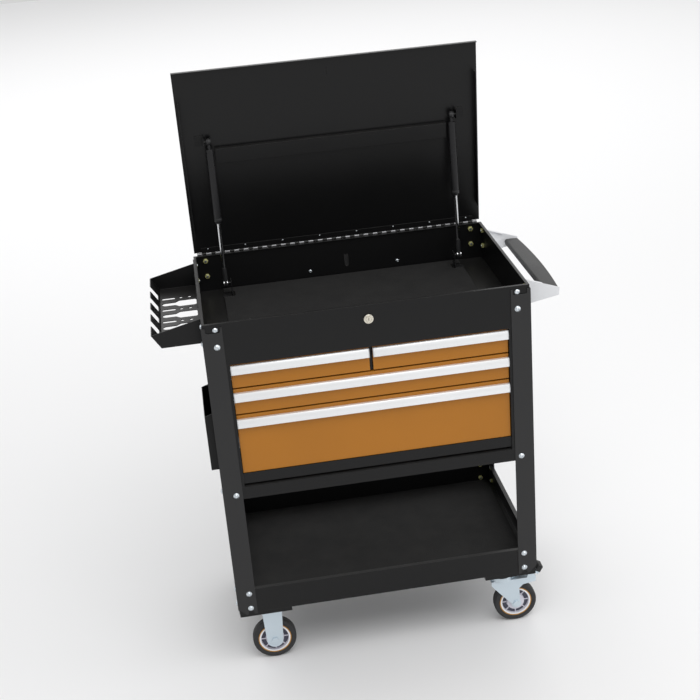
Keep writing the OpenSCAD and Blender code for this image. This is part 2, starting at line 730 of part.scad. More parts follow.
// Fixed channel on the wall at x, open towards the drawer
module fixed_runner(x, inward, z) {
    lo = inward > 0 ? x : x - runner_lip;
    difference() {
        block([lo, box_y + 3, z - runner_h / 2], [lo + runner_lip, box_y + box_l, z + runner_h / 2]);
        block([inward > 0 ? lo + runner_back : lo - 1, box_y, z - runner_h / 2 + runner_t],
            [inward > 0 ? lo + runner_lip + 1 : lo + runner_lip - runner_back, box_y + box_l + 1,
                z + runner_h / 2 - runner_t]);
    }
}

module cabinet_runners() color([0.7, 0.72, 0.74]) on_cart() for (d = [top_left, top_right, middle, bottom]) {
    fixed_runner(wall_of(d[0]), 1, runner_z(d));
    fixed_runner(wall_of(d[1]), -1, runner_z(d));
}

// ---- Casters ----

plate_l = 100;
plate_w = 85;
plate_t = 5;

// Caster legs either side of the wheel; the outline is in XZ from the mounting axis
module legs(outline, axle_x, end_r) for (s = [-1, 1]) translate([0, s * (leg_y + leg_t / 2) + leg_t / 2, 0])
    rotate([90, 0, 0]) linear_extrude(leg_t) difference() {
        union() {
            polygon(outline);
            translate([axle_x, wheel_r]) circle(end_r);
        }
        translate([axle_x, wheel_r]) circle(axle_r);
    }

module axle_bolt(x) translate([x, 0, wheel_r]) rotate([90, 0, 0]) {
    cylinder(r = axle_r, h = (leg_y + leg_t) * 2, center = true);
    for (s = [0, 1]) mirror([0, 0, s]) translate([0, 0, leg_y + leg_t])
        cylinder(r = 10, h = 5, $fn = s == 0 ? 48 : 6);
}

module mounting_plate() difference() {
    block([-plate_l / 2, -plate_w / 2, caster_top - plate_t], [plate_l / 2, plate_w / 2, caster_top]);
    for (sx = [-1, 1], sy = [-1, 1]) translate([sx * 38, sy * 31, caster_top - plate_t - 1])
        cylinder(r = 4.5, h = plate_t + 2);
}

module at_casters(sx) for (sy = [-1, 1]) translate([sx * caster_x, sy * caster_y, 0]) children();

module rigid_forks() color([0.68, 0.72, 0.78]) on_cart() at_casters(-1) {
    mounting_plate();
    block([-36, -(leg_y + leg_t), caster_top - plate_t - 4], [36, leg_y + leg_t, caster_top - plate_t]);
    legs([[-36, caster_top - plate_t - 2], [36, caster_top - plate_t - 2], [36, 172], [29, 160],
        [26, 100], [24, wheel_r], [-24, wheel_r], [-26, 100], [-29, 160], [-36, 172]], 0, 24);
    axle_bolt(0);
}

// Top plates with the upper race and the kingpin
module swivel_plates() color([0.68, 0.72, 0.78]) on_cart() at_casters(1) {
    mounting_plate();
    translate([0, 0, crown_z + 19]) cylinder(r = race_r, h = caster_top - plate_t - crown_z - 19);
    translate([0, 0, crown_z - 1]) cylinder(r = kingpin_r, h = caster_top - plate_t - crown_z + 1);
    translate([0, 0, crown_z - 8]) cylinder(r = kingpin_r + 5, h = 7.6);
}

pedal_at = [trail + 46, 156];
crown_end = trail + 62;

module swivel_fork(sy) color([0.68, 0.72, 0.78]) on_cart() translate([caster_x, sy * caster_y, 0]) {
    difference() {
        union() {
            block([-34, -(leg_y + leg_t), crown_z], [crown_end, leg_y + leg_t, crown_z + 4]);
            translate([0, 0, crown_z + 3]) cylinder(r = race_r + 3, h = 15.6);
        }
        translate([0, 0, crown_z - 1]) cylinder(r = kingpin_r + 0.06, h = 24);
    }
    difference() {
        legs([[-34, crown_z + 1], [pedal_at[0] - 12, crown_z + 1], [pedal_at[0] - 8, pedal_at[1] + 9],
            [pedal_at[0] + 10, pedal_at[1] + 9], [crown_end, crown_z + 1], [crown_end, crown_z - 12],
            [trail + 22, 130], [trail + 10, 118], [trail + 12, wheel_r], [trail - 14, wheel_r],
            [-34, 138]], trail, 15);
        translate([pedal_at[0], 0, pedal_at[1]]) rotate([90, 0, 0]) cylinder(r = 3.06, h = 80, center = true);
    }
    axle_bolt(trail);
}

module swivel_fork_front() swivel_fork(-1);
module swivel_fork_rear() swivel_fork(1);

// Brake lever on its own pin, with a block for the foot at its end; outlines are in XZ from the pin
lever_outline = [[-4, 4], [4, 6], [20, 14], [28, 8], [22, 2], [4, -3], [-4, -3]];
foot_outline = [[39, 20], [29, 26], [15, 2], [25, -4]];

module brake_pedal(sy) color([0.68, 0.72, 0.78]) on_cart()
    translate([caster_x + pedal_at[0], sy * caster_y, pedal_at[1]]) rotate([90, 0, 0]) {
        cylinder(r = 3, h = (leg_y + leg_t) * 2, center = true);
        linear_extrude(24, center = true) polygon(lever_outline);
        linear_extrude(30, center = true) polygon(foot_outline);
    }

module brake_pedal_front() brake_pedal(-1);
module brake_pedal_rear() brake_pedal(1);

// Wheel places: [x of the axle, side of the cart along Y]
rigid_x = -caster_x;
swivel_x = caster_x + trail;

module at_wheel(x, sy) translate([x, sy * caster_y, wheel_r]) rotate([90, 0, 0]) children();

module wheel_tyre(x, sy) color([0.22, 0.22, 0.23]) on_cart() at_wheel(x, sy) rotate_extrude($fn = 96)
    polygon([[tyre_bore_r, -half_tyre + 3], [wheel_r - 5, -half_tyre], [wheel_r - 1.5, -half_tyre + 2.5],
        [wheel_r, -half_tyre + 7], [wheel_r, half_tyre - 7], [wheel_r - 1.5, half_tyre - 2.5],
        [wheel_r - 5, half_tyre], [tyre_bore_r, half_tyre - 3]]);

module wheel_hub(x, sy) color([0.8, 0.8, 0.84]) on_cart() at_wheel(x, sy) difference() {
    union() {
        rotate_extrude($fn = 96) polygon([[hub_bore_r, -half_tyre - 3], [14, -half_tyre - 3],
            [15, -half_tyre + 1], [26, -half_tyre + 2], [28, -4], [40, -4], [41.5, -half_tyre + 3],
            [tyre_bore_r, -half_tyre + 3], [tyre_bore_r, half_tyre - 3], [41.5, half_tyre - 3], [40, 4],
            [28, 4], [26, half_tyre - 2], [15, half_tyre - 1], [14, half_tyre + 3],
            [hub_bore_r, half_tyre + 3]]);
        for (a = [0 : 45 : 315]) rotate(a) translate([27, -1.5, -half_tyre + 8])
            cube([14, 3, wheel_w - 16]);
    }
    cylinder(r = hub_bore_r, h = wheel_w + 10, center = true);
}

module wheel_hub_front_left() wheel_hub(rigid_x, -1);
module wheel_hub_rear_left() wheel_hub(rigid_x, 1);
module wheel_hub_front_right() wheel_hub(swivel_x, -1);
module wheel_hub_rear_right() wheel_hub(swivel_x, 1);
module wheel_tyre_front_left() wheel_tyre(rigid_x, -1);
module wheel_tyre_rear_left() wheel_tyre(rigid_x, 1);
module wheel_tyre_front_right() wheel_tyre(swivel_x, -1);
module wheel_tyre_rear_right() wheel_tyre(swivel_x, 1);

post_front_left();
post_front_right();
post_rear_left();
post_rear_right();
compartment_shell();
compartment_floor();
floor_liner();
drawer_housing();
drawer_divider();
cabinet_rails();
pliers_rack();
side_bin();
bottom_tray();
tray_liner();
caster_channels();
frame_bolts();
frame_nuts();
tool_rack();
handle_bracket();
handle_grip();
lock_housing();
lock_plug();
hinge_leaf_lower();
hinge_pin();
hinge_leaf_upper();
lid_pan();
lid_reinforcement();
strut_mounts_lower();
strut_rod_left();
strut_rod_right();
strut_barrel_left();
strut_barrel_right();
cabinet_runners();
drawer_top_left_box();
drawer_top_left_front();
drawer_top_left_pull();
drawer_top_right_box();
drawer_top_right_front();
drawer_top_right_pull();
drawer_middle_box();
drawer_middle_front();
drawer_middle_pull();
drawer_bottom_box();
drawer_bottom_front();
drawer_bottom_pull();
rigid_forks();
swivel_plates();
swivel_fork_front();
swivel_fork_rear();
brake_pedal_front();
brake_pedal_rear();
wheel_hub_front_left();
wheel_hub_rear_left();
wheel_hub_front_right();
wheel_hub_rear_right();
wheel_tyre_front_left();
wheel_tyre_rear_left();
wheel_tyre_front_right();
wheel_tyre_rear_right();
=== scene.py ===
import json
import math
import bmesh
import bpy
from mathutils import Euler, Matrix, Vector


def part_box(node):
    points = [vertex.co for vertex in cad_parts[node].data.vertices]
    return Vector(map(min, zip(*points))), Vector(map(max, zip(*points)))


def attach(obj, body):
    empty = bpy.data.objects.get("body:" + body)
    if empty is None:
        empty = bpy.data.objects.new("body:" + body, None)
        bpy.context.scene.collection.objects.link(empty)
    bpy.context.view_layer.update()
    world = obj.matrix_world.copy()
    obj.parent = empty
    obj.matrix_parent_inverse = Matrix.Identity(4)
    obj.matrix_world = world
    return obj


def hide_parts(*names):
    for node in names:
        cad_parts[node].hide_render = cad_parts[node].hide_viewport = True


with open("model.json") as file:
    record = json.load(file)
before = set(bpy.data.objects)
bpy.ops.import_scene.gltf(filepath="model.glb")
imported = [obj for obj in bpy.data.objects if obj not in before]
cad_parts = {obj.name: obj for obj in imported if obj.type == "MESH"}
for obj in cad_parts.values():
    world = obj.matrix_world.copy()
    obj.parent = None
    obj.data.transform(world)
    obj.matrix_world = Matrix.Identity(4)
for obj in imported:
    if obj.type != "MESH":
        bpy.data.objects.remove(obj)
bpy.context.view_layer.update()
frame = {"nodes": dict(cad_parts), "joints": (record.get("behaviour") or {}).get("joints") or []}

# ---------------------------------------------------------------- Corner posts
# Four rolled angle posts in dark grey powder coat. The coat has a fine orange-peel skin, a little dust on
# faces that look up, and a paler line along the edges, partly thinned coat and partly a painted edge
# highlight.


def new_group(name, ins, outs):
    """An empty node group with named inputs and outputs: ins are (name, kind, default)."""
    group = bpy.data.node_groups.new(name, "ShaderNodeTree")
    for label, kind, default in ins:
        socket = group.interface.new_socket(label, in_out="INPUT", socket_type="NodeSocket" + kind)
        socket.default_value = default
    for label, kind in outs:
        group.interface.new_socket(label, in_out="OUTPUT", socket_type="NodeSocket" + kind)
    return group, group.nodes.new("NodeGroupInput"), group.nodes.new("NodeGroupOutput")


def wire(tree, *pairs):
    """Links each (output socket, input socket) pair."""
    for source, sink in pairs:
        tree.links.new(source, sink)


def maths(tree, operation, a, b=0.5, clamp=False):
    """A Math node; a and b are sockets or numbers. Returns its output."""
    step = tree.nodes.new("ShaderNodeMath")
    step.operation = operation
    step.use_clamp = clamp
    for i, value in enumerate((a, b)):
        if isinstance(value, (int, float)):
            step.inputs[i].default_value = value
        else:
            tree.links.new(value, step.inputs[i])
    return step.outputs[0]


def mixed(tree, factor, a, b):
    """A colour Mix node of two colours or sockets. Returns its output."""
    step = tree.nodes.new("ShaderNodeMix")
    step.data_type = "RGBA"
    for socket, value in ((step.inputs[0], factor), (step.inputs[6], a), (step.inputs[7], b)):
        if isinstance(value, (int, float, tuple)):
            socket.default_value = value
        else:
            tree.links.new(value, socket)
    return step.outputs[2]


def build_edge_wear_and_highlight():
    """Mask along edges, broken up by noise: partly thinned coat, partly a painted highlight for the light
    that rounded edges catch.
    """
    group, given, result = new_group(
        "edge wear and highlight",
        [("Width", "Float", 0.002), ("Breakup", "Float", 60.0), ("Amount", "Float", 0.5)],
        [("Mask", "Float"), ("Normal", "Vector")],
    )
    round_edge = group.nodes.new("ShaderNodeBevel")
    round_edge.samples = 4
    face = group.nodes.new("ShaderNodeNewGeometry")
    dot = group.nodes.new("ShaderNodeVectorMath")
    dot.operation = "DOT_PRODUCT"
    place = group.nodes.new("ShaderNodeTexCoord")
    noise = group.nodes.new("ShaderNodeTexNoise")
    noise.inputs["Detail"].default_value = 4
    wire(
        group,
        (given.outputs["Width"], round_edge.inputs["Radius"]),
        (round_edge.outputs["Normal"], dot.inputs[0]),
        (face.outputs["Normal"], dot.inputs[1]),
        (place.outputs["Object"], noise.inputs["Vector"]),
        (given.outputs["Breakup"], noise.inputs["Scale"]),
    )
    turn = maths(group, "SUBTRACT", 1.0, dot.outputs["Value"])
    edge = maths(group, "MULTIPLY", turn, 7.0, clamp=True)
    patches = maths(group, "ADD", noise.outputs["Fac"], 0.25)
    broken = maths(group, "MULTIPLY", edge, patches, clamp=True)
    mask = maths(group, "MULTIPLY", broken, given.outputs["Amount"], clamp=True)
    wire(
        group,
        (mask, result.inputs["Mask"]),
        (round_edge.outputs["Normal"], result.inputs["Normal"]),
    )
    return group


def build_dust():
    """Mask of fine dust that settles on faces that look up."""
    group, given, result = new_group(
        "settled dust", [("Amount", "Float", 0.3), ("Scale", "Float", 9.0)], [("Mask", "Float")]
    )
    face = group.nodes.new("ShaderNodeNewGeometry")
    parts = group.nodes.new("ShaderNodeSeparateXYZ")
    place = group.nodes.new("ShaderNodeTexCoord")
    noise = group.nodes.new("ShaderNodeTexNoise")
    noise.inputs["Detail"].default_value = 8
    noise.inputs["Roughness"].default_value = 0.65
    wire(
        group,
        (face.outputs["Normal"], parts.inputs[0]),
        (place.outputs["Object"], noise.inputs["Vector"]),
        (given.outputs["Scale"], noise.inputs["Scale"]),
    )
    tilt = maths(group, "SUBTRACT", parts.outputs["Z"], 0.3)
    upward = maths(group, "MULTIPLY", tilt, 1.4, clamp=True)
    cloud = maths(group, "MULTIPLY", upward, noise.outputs["Fac"])
    mask = maths(group, "MULTIPLY", cloud, given.outputs["Amount"], clamp=True)
    wire(group, (mask, result.inputs["Mask"]))
    return group


def build_coat_skin():
    """Orange-peel skin of baked powder, with a small change of tone and gloss over the surface."""
    group, given, result = new_group(
        "coat skin",
        [
            ("Peel", "Float", 900.0),
            ("Blotch", "Float", 5.0),
            ("Gloss", "Float", 0.4),
            ("Spread", "Float", 0.1),
        ],
        [("Height", "Float"), ("Tone", "Float"), ("Roughness", "Float")],
    )
    place = group.nodes.new("ShaderNodeTexCoord")
    peel = group.nodes.new("ShaderNodeTexNoise")
    peel.inputs["Detail"].default_value = 2
    blotch = group.nodes.new("ShaderNodeTexNoise")
    blotch.inputs["Detail"].default_value = 6
    wire(
        group,
        (place.outputs["Object"], peel.inputs["Vector"]),
        (place.outputs["Object"], blotch.inputs["Vector"]),
        (given.outputs["Peel"], peel.inputs["Scale"]),
        (given.outputs["Blotch"], blotch.inputs["Scale"]),
        (peel.outputs["Fac"], result.inputs["Height"]),
        (blotch.outputs["Fac"], result.inputs["Tone"]),
    )
    off_middle = maths(group, "SUBTRACT", blotch.outputs["Fac"], 0.5)
    swing = maths(group, "MULTIPLY", off_middle, given.outputs["Spread"])
    rough = maths(group, "ADD", given.outputs["Gloss"], swing, clamp=True)
    wire(group, (rough, result.inputs["Roughness"]))
    return group


EDGE_WEAR_AND_HIGHLIGHT = build_edge_wear_and_highlight()
DUST = build_dust()
COAT_SKIN = build_coat_skin()
DUST_COLOUR = (0.30, 0.29, 0.27, 1)


def placed(tree, group, **values):
    """A group node with its inputs set by name."""
    step = tree.nodes.new("ShaderNodeGroup")
    step.node_tree = group
    for label, value in values.items():
        step.inputs[label].default_value = value
    return step


def empty_material(name):
    """A new material, its node tree and its shader."""
    material = bpy.data.materials.new(name)
    material.use_nodes = True
    tree = material.node_tree
    return material, tree, tree.nodes["Principled BSDF"]


def bumped(tree, height, distance, strength, normal=None):
    """A Bump node over an optional base normal. Returns its normal."""
    step = tree.nodes.new("ShaderNodeBump")
    step.inputs["Distance"].default_value = distance
    step.inputs["Strength"].default_value = strength
    tree.links.new(height, step.inputs["Height"])
    if normal is not None:
        tree.links.new(normal, step.inputs["Normal"])
    return step.outputs["Normal"]


def powder_coat(
    name, colour, worn, gloss=0.40, dust=0.07, wear_and_highlight=0.35, edge=0.0013, peel=0.3, specular=0.35
):
    """Baked powder paint on sheet steel. worn is the colour along the edges, partly thinned coat and partly
    a painted edge highlight.
    """
    material, tree, shader = empty_material(name)
    skin = placed(tree, COAT_SKIN, Gloss=gloss, Spread=0.12)
    rim = placed(tree, EDGE_WEAR_AND_HIGHLIGHT, Width=edge, Amount=wear_and_highlight)
    film = placed(tree, DUST, Amount=dust)
    darker = tuple(c * 0.86 for c in colour[:3]) + (1,)
    base = mixed(tree, skin.outputs["Tone"], darker, colour)
    # Edges turn towards worn: thinned coat, and a painted highlight along the edges.
    worn_and_highlit_edges = mixed(tree, rim.outputs["Mask"], base, worn)
    dusted = mixed(tree, film.outputs["Mask"], worn_and_highlit_edges, DUST_COLOUR)
    dulled = maths(tree, "MULTIPLY", film.outputs["Mask"], 0.6)
    rough = maths(tree, "ADD", skin.outputs["Roughness"], dulled, clamp=True)
    peeled = bumped(tree, skin.outputs["Height"], 0.0002, peel, rim.outputs["Normal"])
    wire(
        tree,
        (dusted, shader.inputs["Base Color"]),
        (rough, shader.inputs["Roughness"]),
        (peeled, shader.inputs["Normal"]),
    )
    shader.inputs["Specular IOR Level"].default_value = specular
    return material


def dress(material, *nodes):
    """Gives CAD nodes a material."""
    for node in nodes:
        part = frame["nodes"][node]
        part.data.materials.clear()
        part.data.materials.append(material)


CORNERS = ("front_left", "front_right", "rear_left", "rear_right")
post_coat = powder_coat(
    "post dark grey coat", (0.021, 0.021, 0.0215, 1), (0.10, 0.10, 0.102, 1), wear_and_highlight=0.45
)
dress(post_coat, *["post_" + corner for corner in CORNERS])


# ---------------------------------------------------------------- Top compartment
# Four folded walls with a turned-in rim and a floor, in near-black powder coat. Two rubber buffers are
# pressed into the front rim. A moulded grommet with a thin membrane closes the cable slot in the rear
# wall.
MM = 0.001
BUFFER_X = 300 * MM
BUFFER_R = 3.3 * MM
BUFFER_H = 1.6 * MM
BUFFER_INSET = 4 * MM
SLOT_OFFSET = 18 * MM
SLOT_FOOT = 1020 * MM
SLOT_HALF = 4 * MM
SLOT_RISE = 37 * MM
SLOT_CORNER = 3 * MM
GROMMET_WALL = 2.2 * MM
GROMMET_CORNER = 2 * MM
GROMMET_DEPTH = 4.8 * MM
GROMMET_INSET = 3.4 * MM
MEMBRANE_T = 1.2 * MM
MEMBRANE_INSET = 1.8 * MM


def clear_selection():
    """Deselects every object, so that an operator acts only on what is picked next."""
    bpy.ops.object.select_all(action="DESELECT")


def select_vertices(test):
    """In edit mode, selects the vertices that pass the test."""
    mesh = bmesh.from_edit_mesh(bpy.context.edit_object.data)
    for vertex in mesh.verts:
        vertex.select_set(test(vertex))
    mesh.select_flush_mode()
    bmesh.update_edit_mesh(bpy.context.edit_object.data)


def drawn(points, closed):
    """A run of edges drawn by extruding one vertex from point to point. It is left in edit mode."""
    clear_selection()
    bpy.ops.mesh.primitive_plane_add(size=MM)
    bpy.ops.object.mode_set(mode="EDIT")
    bpy.ops.mesh.select_mode(type="VERT")
    bpy.ops.mesh.select_all(action="SELECT")
    bpy.ops.mesh.merge(type="CENTER")
    bpy.ops.transform.translate(value=points[0])
    for here, there in zip(points, points[1:]):
        step = Vector(there) - Vector(here)
        bpy.ops.mesh.extrude_vertices_move(TRANSFORM_OT_translate={"value": step})
    if closed:
        ends = [Vector(points[0]), Vector(points[-1])]
        select_vertices(lambda v: min((v.co - end).length for end in ends) < 1e-7)
        bpy.ops.mesh.edge_face_add()
    bpy.ops.mesh.select_all(action="SELECT")
    return bpy.context.object


def extruded(points, along):
    """A closed outline filled and pulled out to a solid bar."""
    piece = drawn(points, True)
    bpy.ops.mesh.edge_face_add()
    bpy.ops.mesh.extrude_region_move(TRANSFORM_OT_translate={"value": along})
    bpy.ops.mesh.select_all(action="SELECT")
    bpy.ops.mesh.normals_make_consistent(inside=False)
    bpy.ops.object.mode_set(mode="OBJECT")
    return piece


def turned(profile, closed, steps=64, axis=(0, 0, 1)):
    """A profile spun a full turn about an axis through the origin."""
    piece = drawn(profile, closed)
    bpy.ops.mesh.spin(steps=steps, angle=math.tau, center=(0, 0, 0), axis=axis)
    bpy.ops.mesh.select_all(action="SELECT")
    bpy.ops.mesh.remove_doubles(threshold=1e-6)
    bpy.ops.mesh.normals_make_consistent(inside=False)
    bpy.ops.object.mode_set(mode="OBJECT")
    return piece


def bevelled(piece, width, segments=3, angle=35):
    """Rounds the sharp edges of a piece."""
    rounding = piece.modifiers.new("rounding", "BEVEL")
    rounding.width = width
    rounding.segments = segments
    rounding.limit_method = "ANGLE"
    rounding.angle_limit = math.radians(angle)
    clear_selection()
    piece.select_set(True)
    bpy.context.view_layer.objects.active = piece
    bpy.ops.object.modifier_apply(modifier=rounding.name)
    return piece


def copied(piece, place=(0, 0, 0), turn=(0, 0, 0)):
    """A copy with its own mesh, turned about the origin and moved to its place."""
    twin = piece.copy()
    twin.data = piece.data.copy()
    bpy.context.scene.collection.objects.link(twin)
    twin.location = place
    twin.rotation_euler = turn
    return twin


def joined(pieces):
    """Several meshes as one piece, each first set in its place."""
    clear_selection()
    for piece in pieces:
        piece.select_set(True)
    bpy.context.view_layer.objects.active = pieces[0]
    bpy.ops.object.transform_apply(location=True, rotation=True, scale=True)
    bpy.ops.object.join()
    return bpy.context.object


def fitted(piece, name, material, body, smooth=32):
    """Sets a finished piece's place in its mesh, smooths it, and ties it to its body."""
    clear_selection()
    piece.select_set(True)
    bpy.context.view_layer.objects.active = piece
    bpy.ops.object.transform_apply(location=True, rotation=True, scale=True)
    bpy.ops.object.shade_smooth_by_angle(angle=math.radians(smooth))
    piece.name = piece.data.name = name
    piece.data.materials.clear()
    piece.data.materials.append(material)
    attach(piece, body)
    return piece


def removed(piece):
    """Takes away a pattern piece that only served to be copied."""
    bpy.data.objects.remove(piece, do_unlink=True)


def build_grain():
    """Fine pebbled grain of rubber, foam and moulded plastic."""
    group, given, result = new_group(
        "fine grain",
        [("Scale", "Float", 700.0), ("Speckle", "Float", 1500.0)],
        [("Height", "Float"), ("Tone", "Float")],
    )
    place = group.nodes.new("ShaderNodeTexCoord")
    cells = group.nodes.new("ShaderNodeTexVoronoi")
    speck = group.nodes.new("ShaderNodeTexNoise")
    speck.inputs["Detail"].default_value = 3
    wire(
        group,
        (place.outputs["Object"], cells.inputs["Vector"]),
        (place.outputs["Object"], speck.inputs["Vector"]),
        (given.outputs["Scale"], cells.inputs["Scale"]),
        (given.outputs["Speckle"], speck.inputs["Scale"]),
    )
    height = maths(group, "ADD", cells.outputs["Distance"], speck.outputs["Fac"])
    wire(
        group,
        (height, result.inputs["Height"]),
        (speck.outputs["Fac"], result.inputs["Tone"]),
    )
    return group


GRAIN = build_grain()


def moulded(
    name, colour, paler, rough, grain=700.0, depth=0.00025, strength=0.4, dust=0.07, specular=0.35
):
    """Moulded plastic, rubber or foam with a fine grain and some dust."""
    material, tree, shader = empty_material(name)
    skin = placed(tree, GRAIN, Scale=grain, Speckle=grain * 2.1)
    film = placed(tree, DUST, Amount=dust, Scale=14.0)
    base = mixed(tree, skin.outputs["Tone"], colour, paler)
    worn = placed(tree, COAT_SKIN, Blotch=9.0, Gloss=rough, Spread=0.16)
    dusted = mixed(tree, film.outputs["Mask"], base, DUST_COLOUR)
    grained = bumped(tree, skin.outputs["Height"], depth, strength)
    wire(
        tree,
        (dusted, shader.inputs["Base Color"]),
        (worn.outputs["Roughness"], shader.inputs["Roughness"]),
        (grained, shader.inputs["Normal"]),
    )
    shader.inputs["Specular IOR Level"].default_value = specular
    return material


panel_coat = powder_coat(
    "panel black coat", (0.0046, 0.0046, 0.0048, 1), (0.045, 0.045, 0.046, 1), gloss=0.36,
    specular=0.29,
)
dress(panel_coat, "compartment_shell", "compartment_floor")
black_rubber = moulded("black rubber", (0.012, 0.012, 0.012, 1), (0.026, 0.026, 0.026, 1), 0.62)

shell_low, shell_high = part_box("compartment_shell")
shell_middle = (shell_low.x + shell_high.x) / 2
buffer = turned(
    [
        (0, 0, BUFFER_H),
        (BUFFER_R * 0.6, 0, BUFFER_H),
        (BUFFER_R * 0.9, 0, BUFFER_H * 0.7),
        (BUFFER_R, 0, 0),
        (0, 0, 0),
    ],
    False,
    steps=24,
)
rim_front = shell_low.y + BUFFER_INSET
buffers = [copied(buffer, (x, rim_front, shell_high.z)) for x in (-BUFFER_X, BUFFER_X)]
fitted(joined(buffers), "rim_buffers", black_rubber, "cart")
removed(buffer)

slot_left = shell_middle + SLOT_OFFSET - SLOT_HALF
slot_right = shell_middle + SLOT_OFFSET + SLOT_HALF
slot_top = SLOT_FOOT + SLOT_RISE
slot_line = [
    (slot_left, slot_top),
    (slot_left, SLOT_FOOT + SLOT_CORNER),
    (slot_left + SLOT_CORNER, SLOT_FOOT),
    (slot_right - SLOT_CORNER, SLOT_FOOT),
    (slot_right, SLOT_FOOT + SLOT_CORNER),
    (slot_right, slot_top),
]
grommet_line = [
    (slot_right + GROMMET_WALL, slot_top + GROMMET_WALL),
    (slot_right + GROMMET_WALL, SLOT_FOOT + GROMMET_CORNER),
    (slot_right - GROMMET_CORNER, SLOT_FOOT - GROMMET_WALL),
    (slot_left + GROMMET_CORNER, SLOT_FOOT - GROMMET_WALL),
    (slot_left - GROMMET_WALL, SLOT_FOOT + GROMMET_CORNER),
    (slot_left - GROMMET_WALL, slot_top + GROMMET_WALL),
]
grommet_y = shell_high.y - GROMMET_INSET
grommet = extruded([(x, grommet_y, z) for x, z in slot_line + grommet_line], (0, GROMMET_DEPTH, 0))
bevelled(grommet, 0.6 * MM, 2)
membrane = extruded([(x, grommet_y + MEMBRANE_INSET, z) for x, z in slot_line], (0, MEMBRANE_T, 0))
fitted(joined([grommet, membrane]), "cable_grommet", black_rubber, "cart")

# ---------------------------------------------------------------- Liners
# Die-cut sheets of closed-cell foam lie on the compartment floor and on the bottom tray. They are matt,
# with a fine even grain.
liner_foam = moulded(
    "liner foam", (0.010, 0.010, 0.0102, 1), (0.020, 0.020, 0.0205, 1), 0.86, grain=420.0,
    depth=0.0006, strength=0.5, dust=0.06, specular=0.2,
)
dress(liner_foam, "floor_liner", "tray_liner")

# ---------------------------------------------------------------- Drawer housing, rails and tray
# Folded black panels: the housing that the drawers slide in, its divider, the rails across the posts, the
# side pockets, the deep bottom tray and the channels that carry the casters. The slides, bolts and nuts
# are plated: a thin bright layer, cloudy from place to place and finely scratched.
dress(
    panel_coat, "drawer_housing", "drawer_divider", "cabinet_rails", "pliers_rack", "side_bin",
    "bottom_tray", "caster_channels",
)


def build_plating():
    """Cloud of a plated or brushed surface, and fine scratches drawn out along x."""
    group, given, result = new_group(
        "plating",
        [
            ("Cloud", "Float", 30.0),
            ("Scratch", "Float", 500.0),
            ("Gloss", "Float", 0.3),
            ("Spread", "Float", 0.2),
        ],
        [("Tone", "Float"), ("Height", "Float"), ("Roughness", "Float")],
    )
    place = group.nodes.new("ShaderNodeTexCoord")
    stretch = group.nodes.new("ShaderNodeMapping")
    stretch.inputs["Scale"].default_value = (0.06, 1.0, 1.0)
    cloud = group.nodes.new("ShaderNodeTexNoise")
    cloud.inputs["Detail"].default_value = 5
    scratch = group.nodes.new("ShaderNodeTexNoise")
    scratch.inputs["Detail"].default_value = 3
    wire(
        group,
        (place.outputs["Object"], cloud.inputs["Vector"]),
        (place.outputs["Object"], stretch.inputs["Vector"]),
        (stretch.outputs["Vector"], scratch.inputs["Vector"]),
        (given.outputs["Cloud"], cloud.inputs["Scale"]),
        (given.outputs["Scratch"], scratch.inputs["Scale"]),
        (cloud.outputs["Fac"], result.inputs["Tone"]),
        (scratch.outputs["Fac"], result.inputs["Height"]),
    )
    both = maths(group, "ADD", cloud.outputs["Fac"], scratch.outputs["Fac"])
    off_middle = maths(group, "SUBTRACT", both, 1.0)
    swing = maths(group, "MULTIPLY", off_middle, given.outputs["Spread"])
    rough = maths(group, "ADD", given.outputs["Gloss"], swing, clamp=True)
    wire(group, (rough, result.inputs["Roughness"]))
    return group


PLATING = build_plating()


def plated(
    name, pale, deep, rough, cloud=30.0, scratch=500.0, strength=0.12, spread=0.22, metallic=1.0
):
    """Bright metal with clouding from pale to deep."""
    material, tree, shader = empty_material(name)
    skin = placed(tree, PLATING, Cloud=cloud, Scratch=scratch, Gloss=rough, Spread=spread)
    rim = placed(tree, EDGE_WEAR_AND_HIGHLIGHT, Width=0.0008, Amount=0.5)
    base = mixed(tree, skin.outputs["Tone"], deep, pale)
    # Edges are lightened towards white: rubbed metal, and a painted edge highlight.
    rubbed_and_highlit = mixed(tree, rim.outputs["Mask"], base, (0.95, 0.95, 0.95, 1))
    scratched = bumped(tree, skin.outputs["Height"], 0.0001, strength, rim.outputs["Normal"])
    wire(
        tree,
        (rubbed_and_highlit, shader.inputs["Base Color"]),
        (skin.outputs["Roughness"], shader.inputs["Roughness"]),
        (scratched, shader.inputs["Normal"]),
    )
    shader.inputs["Metallic"].default_value = metallic
    return material


zinc = plated("bright zinc", (0.78, 0.83, 0.86, 1), (0.60, 0.65, 0.70, 1), 0.30)
yellow_zinc = plated(
    "yellow zinc", (0.80, 0.78, 0.30, 1), (0.62, 0.60, 0.24, 1), 0.36, cloud=90.0, metallic=0.5
)
dress(zinc, "cabinet_runners", "frame_bolts")
dress(yellow_zinc, "frame_nuts")

# ---------------------------------------------------------------- Frame washers
# Each button-head bolt clamps a thin domed washer against the outside of a post flange. They are pressed
# from zinc-plated steel.
WASHER_OUT = 8.4 * MM
WASHER_IN = 5.5 * MM
WASHER_H = 1.1 * MM
BOLT_INSET = 37 * MM
BOLT_HEIGHTS = [z * MM for z in (1042, 589.5, 262, 213)]

